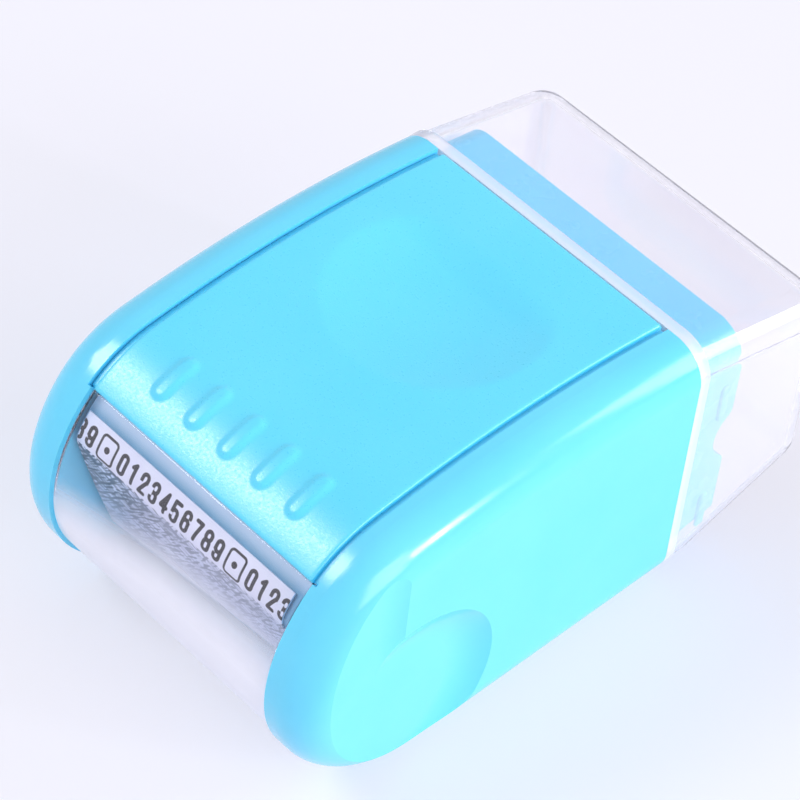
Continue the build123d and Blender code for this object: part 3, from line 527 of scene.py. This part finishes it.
class Finish:
    """A node material of one Principled shader, with short calls for what feeds it."""

    def __init__(self, name, **sockets):
        self.material = bpy.data.materials.new(name)
        self.material.use_nodes = True
        self.tree = self.material.node_tree
        self.shader = self.tree.nodes["Principled BSDF"]
        self.output = self.tree.nodes["Material Output"]
        for socket, value in sockets.items():
            self.shader.inputs[socket.replace("_", " ")].default_value = value
        self.place = self.node("ShaderNodeTexCoord").outputs["Object"]

    def node(self, kind, **values):
        """New node of a kind with some of its settings."""
        node = self.tree.nodes.new(kind)
        for name, value in values.items():
            setattr(node, name, value)
        return node

    def link(self, source, target):
        """Joins one socket to another."""
        self.tree.links.new(source, target)

    def put(self, value, target):
        """Joins a socket to another, or gives that other one a number or a colour."""
        if hasattr(value, "is_output"):
            self.link(value, target)
        else:
            target.default_value = value

    def noise(self, scale, detail=2.0, vector=None):
        """Noise over the piece, with its scale in waves per metre."""
        node = self.node("ShaderNodeTexNoise")
        node.inputs["Scale"].default_value = scale
        node.inputs["Detail"].default_value = detail
        self.link(vector or self.place, node.inputs["Vector"])
        return node.outputs["Fac"]

    def spread(self, source, low, high, start=0.3, end=0.7):
        """Maps a value from start to end onto low to high."""
        node = self.node("ShaderNodeMapRange")
        ends = {"From Min": start, "From Max": end, "To Min": low, "To Max": high}
        for name, value in ends.items():
            node.inputs[name].default_value = value
        self.link(source, node.inputs["Value"])
        return node.outputs["Result"]

    def math(self, operation, *values):
        """Sum, product or the like of values, each a socket or a number."""
        node = self.node("ShaderNodeMath", operation=operation)
        for socket, value in zip(node.inputs, values):
            self.put(value, socket)
        return node.outputs[0]

    def blend(self, factor, first, second):
        """Mixes two colours by a value."""
        node = self.node("ShaderNodeMix", data_type="RGBA")
        self.link(factor, node.inputs["Factor"])
        self.put(first, node.inputs[6])
        self.put(second, node.inputs[7])
        return node.outputs[2]

    def clouds(self, scale, detail, first, second):
        """Two close colours that drift into each other by noise."""
        return self.blend(self.spread(self.noise(scale, detail), 0, 1), first, second)

    def mix(self, factor, first, second):
        """Mixes two shaders by a value and shows the result."""
        node = self.node("ShaderNodeMixShader")
        self.link(factor, node.inputs[0])
        self.link(first, node.inputs[1])
        self.link(second, node.inputs[2])
        self.link(node.outputs[0], self.output.inputs["Surface"])
        return node.outputs[0]

    def split(self, vector):
        """The three parts of a vector."""
        node = self.node("ShaderNodeSeparateXYZ")
        self.link(vector, node.inputs[0])
        return node.outputs

    def bump(self, height, depth, strength=1.0):
        """Bump of a depth in millimetres."""
        node = self.node("ShaderNodeBump")
        node.inputs["Distance"].default_value = depth * MM
        node.inputs["Strength"].default_value = strength
        self.link(height, node.inputs["Height"])
        return node.outputs["Normal"]

    def feed(self, **sources):
        """Joins sources to the shader's own sockets."""
        for socket, source in sources.items():
            self.link(source, self.shader.inputs[socket.replace("_", " ")])
        return self


def cyan_plastic(name, first, second, roughness, peel_scale):
    """Dyed plastic in two close shades that lets a little light in, with a soft moulded skin."""
    finish = Finish(name, Specular_IOR_Level=0.6, **DYED_PLASTIC)
    tint = finish.clouds(70, 3, first, second)
    rough = finish.spread(finish.noise(240), roughness - 0.03, roughness + 0.04)
    peel = finish.bump(finish.noise(peel_scale), SKIN_DEPTH)
    return finish.feed(Base_Color=tint, Roughness=rough, Normal=peel).material


def textured_cover():
    """Finely spark-eroded matte plastic of the top cover."""
    finish = Finish("textured_cover", Specular_IOR_Level=0.9, **DYED_PLASTIC)
    tint = finish.clouds(60, 3, colour(90, 219, 252), colour(98, 223, 255))
    grain = finish.bump(finish.noise(6200, 0.3), 0.016, 0.52)
    rough = finish.spread(finish.noise(3600), 0.26, 0.42)
    return finish.feed(Base_Color=tint, Roughness=rough, Normal=grain).material


def moulded(name, first, second, roughness, grain_scale=2600, grain_depth=0.02):
    """Matte moulded plastic or rubber in two close shades with a fine grain."""
    finish = Finish(name, IOR=1.48)
    tint = finish.clouds(130, 4, first, second)
    grain = finish.bump(finish.noise(grain_scale), grain_depth, 0.7)
    rough = finish.spread(finish.noise(700), roughness - 0.06, roughness + 0.06)
    return finish.feed(Base_Color=tint, Roughness=rough, Normal=grain).material


def cassette_plastic():
    """Smooth white plastic of the ink cassette, with painted shade on its nose: blue-grey for the dark
    gap under the cover, which turns white above the label and behind the nose's foot."""
    finish = Finish("cassette_plastic", IOR=1.48)
    _, along, height = finish.split(finish.place)
    above = finish.spread(height, 0, 1, SHADE_BAND_BOTTOM * MM, SHADE_BAND_TOP * MM)
    depths = ((NOSE_FOOT.real + depth) * MM for depth in (SHADE_BAND_REAR_START, SHADE_BAND_REAR_END))
    behind = finish.spread(along, 0, 1, *depths)
    white = finish.clouds(130, 4, colour(222, 227, 243), colour(230, 234, 247))
    # Painted shade: blue-grey below the label's top and ahead of the foot, white plastic elsewhere
    tint = finish.blend(finish.math("MAXIMUM", above, behind), colour(118, 170, 202), white)
    rough = finish.spread(finish.noise(700), 0.3, 0.42)
    return finish.feed(Base_Color=tint, Roughness=rough).material


def pin_steel():
    """Ground steel with fine rings round the pin."""
    finish = Finish("pin_steel", Metallic=1.0)
    rings = finish.node("ShaderNodeTexNoise", noise_dimensions="1D")
    rings.inputs["Scale"].default_value = 3500
    finish.link(finish.split(finish.place)["X"], rings.inputs["W"])
    tint = finish.blend(finish.noise(300), colour(176, 178, 182), colour(196, 198, 202))
    return finish.feed(
        Base_Color=tint,
        Roughness=finish.spread(rings.outputs["Fac"], 0.2, 0.36),
        Normal=finish.bump(rings.outputs["Fac"], 0.004),
    ).material


def clear_plastic(name, tint, roughness, ripple_scale, haze_and_reflection):
    """Clear plastic that lets lamp light and soft light through to what is behind it, and turns
    white where its last argument says: a milky rim and walls on the cap, a painted reflection of the
    floor on the window."""
    finish = Finish(name, IOR=1.46, Transmission_Weight=1.0)
    shade = finish.clouds(80, 2, tint, (1, 1, 1, 1))
    rough = finish.spread(finish.noise(300), roughness * 0.7, roughness * 1.3)
    ripple = finish.bump(finish.noise(ripple_scale, 1), SKIN_DEPTH)
    finish.feed(Base_Color=shade, Normal=ripple, Roughness=rough)
    body = haze_and_reflection(finish, finish.shader.outputs[0])
    lamp = finish.node("ShaderNodeBsdfTransparent")
    lamp.inputs["Color"].default_value = tint
    path = finish.node("ShaderNodeLightPath").outputs
    soft = finish.math("MAXIMUM", path["Is Shadow Ray"], path["Is Diffuse Ray"])
    finish.mix(soft, body, lamp.outputs[0])
    return finish.material


def milk_and_reflection_veil(finish, body, share):
    """Clouds a clear body by a share with a white one: the cap's milky rim and walls, and a painted
    reflection of the floor on the window's foot.
    """
    milk = finish.node("ShaderNodeBsdfPrincipled")
    milk.inputs["Base Color"].default_value = colour(248, 248, 255)
    milk.inputs["Roughness"].default_value = 0.3
    return finish.mix(share, body, milk.outputs[0])


def hazy_cap(finish, body):
    """Haze of the cap: slight on top, more on its side walls, and most on its rim."""
    edge = MOUTH_Y + RIM_LENGTH
    x, along, _ = finish.split(finish.place)
    rim = finish.spread(along, HAZE_RIM, 0, (edge - RIM_BLEND) * MM, (edge + RIM_BLEND) * MM)
    aside = finish.math("ABSOLUTE", x)
    wall = finish.spread(aside, HAZE_TOP, HAZE_SIDE, CAP_SIDE_START * MM, CAP_SIDE_END * MM)
    return milk_and_reflection_veil(finish, body, finish.math("MAXIMUM", rim, wall))


def painted_reflection_foot(finish, body):
    """Paints a reflection of the floor as a white veil on the window below its nose, where it turns
    under, and less so towards its left end.
    """
    x, _, z = finish.split(finish.place)
    aside = finish.math("MAXIMUM", finish.math("MULTIPLY", x, -REFLECTION_VEIL_TILT), 0.0)
    height = finish.math("ADD", z, aside)
    share = finish.spread(height, REFLECTION_VEIL_SHARE, 0, REFLECTION_VEIL_BOTTOM * MM, REFLECTION_VEIL_TOP * MM)
    return milk_and_reflection_veil(finish, body, share)


def stroke_field(finish, flat, lean, wide):
    """Short random strokes that lean one way: noise drawn out along them and cut at a height."""
    turn = finish.node("ShaderNodeMapping", vector_type="TEXTURE")
    turn.inputs["Rotation"].default_value = (0, 0, math.radians(lean))
    turn.inputs["Scale"].default_value = (STROKE_LENGTH, STROKE_WIDTH, 1)
    finish.link(flat, turn.inputs["Vector"])
    height = finish.noise(1.0, 0.0, turn.outputs["Vector"])
    return finish.spread(finish.math("ADD", height, wide), 0, 1, *STROKE_CUT)


def label_paper():
    """Coated white sheet with a printed row of digits, and crossing strokes that start below it, wash
    out down the sheet under a painted reflection, fade towards its right end, and are wider at its
    left end."""
    finish = Finish("label_paper", IOR=1.45)
    paper = finish.blend(finish.noise(400, 4), colour(228, 226, 246), colour(238, 238, 252))
    flat = finish.node("ShaderNodeUVMap", uv_map="surface_mm").outputs["UV"]
    place = finish.split(flat)
    across, down = place["X"], place["Y"]
    wide = finish.spread(across, 0.02, -0.01, -13.0, -5.0)
    strokes = (stroke_field(finish, flat, lean, wide) for lean in STROKE_LEANS)
    strokes = finish.math("MAXIMUM", *strokes)
    below = finish.spread(down, 0, 1, 3.5, 3.6)
    # Painted reflection: the printed strokes wash out down the sheet as if the window mirrored the
    # floor over them
    painted_reflection_fade = finish.spread(down, 1, 0, 9.0, 24.0)
    fade_across = finish.spread(across, 1, 0.6, -12.0, -2.0)
    strength = finish.math("MULTIPLY", strokes, below)
    strength = finish.math("MULTIPLY", finish.math("MULTIPLY", strength, painted_reflection_fade), fade_across)
    sheet = finish.blend(strength, paper, colour(44, 56, 82))
    near = finish.node("ShaderNodeAttribute", attribute_name="print_distance").outputs["Fac"]
    ink = finish.spread(near, 1, 0, -0.03, 0.03)
    return finish.feed(
        Base_Color=finish.blend(ink, sheet, colour(40, 36, 46)),
        Roughness=finish.spread(finish.noise(900), 0.3, 0.4),
        Normal=finish.bump(finish.noise(3000), 0.004),
    ).material


def dress_frame():
    """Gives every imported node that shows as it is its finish."""
    white = cassette_plastic()
    grey = moulded("spool_grey", colour(196, 200, 208), colour(208, 211, 218), 0.4)
    bearing = moulded("bush_plastic", colour(226, 222, 208), colour(233, 229, 216), 0.38)
    tyre = moulded("tyre_rubber", colour(34, 34, 37), colour(44, 44, 48), 0.6, 1800, 0.04)
    stamp = moulded("stamp_rubber", colour(46, 50, 62), colour(58, 62, 74), 0.5, 2000, 0.03)
    foam = moulded("ink_foam", colour(20, 22, 30), colour(32, 34, 44), 0.8, 1200, 0.12)
    shell = cyan_plastic("gloss_shell", colour(103, 218, 252), colour(110, 222, 255), 0.16, 420)
    neck = cyan_plastic("neck_plastic", colour(82, 212, 252), colour(90, 216, 255), 0.26, 500)
    base = moulded("base_plastic", colour(98, 216, 251), colour(106, 221, 254), 0.45)
    steel = pin_steel()
    finishes = {
        "side_shell_left": shell, "side_shell_right": shell,
        "bottom_cover": base, "neck_frame": neck,
        "cassette_frame": white, "cassette_lid": white,
        "drum_axle": steel, "ink_axle": steel,
        "drum_core": grey, "ink_core": grey,
        "stamp_sleeve": stamp, "ink_foam": foam,
        "cap": clear_plastic("clear_cap", colour(252, 250, 254), 0.03, 90, hazy_cap),
    }
    for side in ("left", "right"):
        finishes[f"drive_tyre_{side}"] = tyre
        finishes[f"drum_bush_{side}"] = bearing
        finishes[f"ink_bush_{side}"] = bearing
    for node, material in finishes.items():
        piece = frame["nodes"][node]
        piece.data.materials.clear()
        piece.data.materials.append(material)


def add_camera():
    """Camera turned by azimuth, elevation and roll. Its directions to the right, down and ahead are
    products of their sines and cosines, and the middle of the cover's front edge lies at given
    distances along them."""
    sin_a, cos_a = math.sin(CAMERA_AZIMUTH), math.cos(CAMERA_AZIMUTH)
    sin_e, cos_e = math.sin(CAMERA_ELEVATION), math.cos(CAMERA_ELEVATION)
    ahead = Vector((-sin_a * cos_e, cos_a * cos_e, -sin_e))
    level = Vector((cos_a, sin_a, 0))
    drop = Vector((sin_a * sin_e, -cos_a * sin_e, -cos_e))
    right = level * math.cos(CAMERA_ROLL) - drop * math.sin(CAMERA_ROLL)
    down = level * math.sin(CAMERA_ROLL) + drop * math.cos(CAMERA_ROLL)
    camera = bpy.data.objects.new("photo_camera", bpy.data.cameras.new("photo_camera"))
    bpy.context.scene.collection.objects.link(camera)
    place = COVER_EDGE - right * EDGE_RIGHT - down * EDGE_DOWN - ahead * EDGE_AHEAD
    turn = Matrix((right, -down, -ahead)).transposed().to_4x4()
    camera.matrix_world = Matrix.Translation(place) @ turn
    camera.data.lens = CAMERA_LENS
    camera.data.sensor_width = SENSOR_WIDTH
    camera.data.clip_start, camera.data.clip_end = 0.01, 20
    bpy.context.scene.camera = camera


def add_softbox(name, towards, distance, width, height, power):
    """Area lamp at a distance from the body's middle, facing it."""
    lamp = bpy.data.lights.new(name, "AREA")
    lamp.shape, lamp.size, lamp.size_y, lamp.energy = "RECTANGLE", width, height, power
    holder = bpy.data.objects.new(name, lamp)
    bpy.context.scene.collection.objects.link(holder)
    back = Vector(towards).normalized()
    middle = (cad_box[0] + cad_box[1]) / 2
    turn = back.to_track_quat("Z", "Y").to_matrix().to_4x4()
    holder.matrix_world = Matrix.Translation(middle + back * distance) @ turn


def add_floor():
    """Pale floor, six metres square, that keeps the body's shadow and shows its own colour to the
    camera, to gloss and through clear plastic."""
    half = 3.0
    mesh = bpy.data.meshes.new("floor")
    corners = [(-half, -half, 0), (half, -half, 0), (half, half, 0), (-half, half, 0)]
    mesh.from_pydata(corners, [], [(0, 1, 2, 3)])
    floor = bpy.data.objects.new("floor", mesh)
    bpy.context.scene.collection.objects.link(floor)
    finish = Finish("floor", Roughness=0.5, IOR=1.4)
    tint = finish.blend(finish.noise(6), colour(240, 240, 252), colour(247, 246, 255))
    finish.feed(Base_Color=tint)
    glow = finish.node("ShaderNodeEmission")
    pale = finish.blend(finish.noise(6), colour(250, 248, 255), colour(253, 251, 255))
    finish.link(pale, glow.inputs["Color"])
    path = finish.node("ShaderNodeLightPath").outputs
    seen = finish.math("MAXIMUM", path["Is Camera Ray"], path["Is Transmission Ray"])
    seen = finish.math("MAXIMUM", seen, path["Is Glossy Ray"])
    finish.mix(finish.math("MULTIPLY", seen, 0.5), finish.shader.outputs[0], glow.outputs[0])
    mesh.materials.append(finish.material)


def add_light():
    """Pale surroundings, which show white to the camera, to gloss and through clear plastic, and
    soft boxes: one high in front to the left, one to the right, one behind to the right, and a small
    one between these two."""
    world = bpy.data.worlds.new("surroundings")
    bpy.context.scene.world = world
    world.use_nodes = True
    tree = world.node_tree
    soft = tree.nodes["Background"]
    soft.inputs["Color"].default_value = colour(240, 241, 255)
    soft.inputs["Strength"].default_value = 0.42
    seen = tree.nodes.new("ShaderNodeBackground")
    seen.inputs["Color"].default_value = colour(248, 247, 255)
    path = tree.nodes.new("ShaderNodeLightPath").outputs
    share = path["Is Camera Ray"]
    for kind in ("Is Glossy Ray", "Is Transmission Ray"):
        either = tree.nodes.new("ShaderNodeMath")
        either.operation = "MAXIMUM"
        tree.links.new(share, either.inputs[0])
        tree.links.new(path[kind], either.inputs[1])
        share = either.outputs[0]
    mix = tree.nodes.new("ShaderNodeMixShader")
    tree.links.new(share, mix.inputs[0])
    tree.links.new(soft.outputs[0], mix.inputs[1])
    tree.links.new(seen.outputs[0], mix.inputs[2])
    tree.links.new(mix.outputs[0], tree.nodes["World Output"].inputs["Surface"])
    add_softbox("key", (-0.48, -0.5, 0.72), 0.6, 0.23, 0.23, 1.6)
    add_softbox("side", (0.9, -0.05, 0.42), 0.7, 0.42, 0.42, 2.1)
    add_softbox("rear", (0.55, 0.76, 0.34), 0.7, 0.34, 0.34, 2.0)
    add_softbox("spot", (0.869, 0.325, 0.369), 0.7, 0.05, 0.15, 0.75)


def main():
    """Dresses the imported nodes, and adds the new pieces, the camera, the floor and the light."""
    bpy.context.scene.view_settings.view_transform = "Standard"
    dress_frame()
    add_top_cover()
    add_window()
    add_label()
    add_camera()
    add_floor()
    add_light()


main()
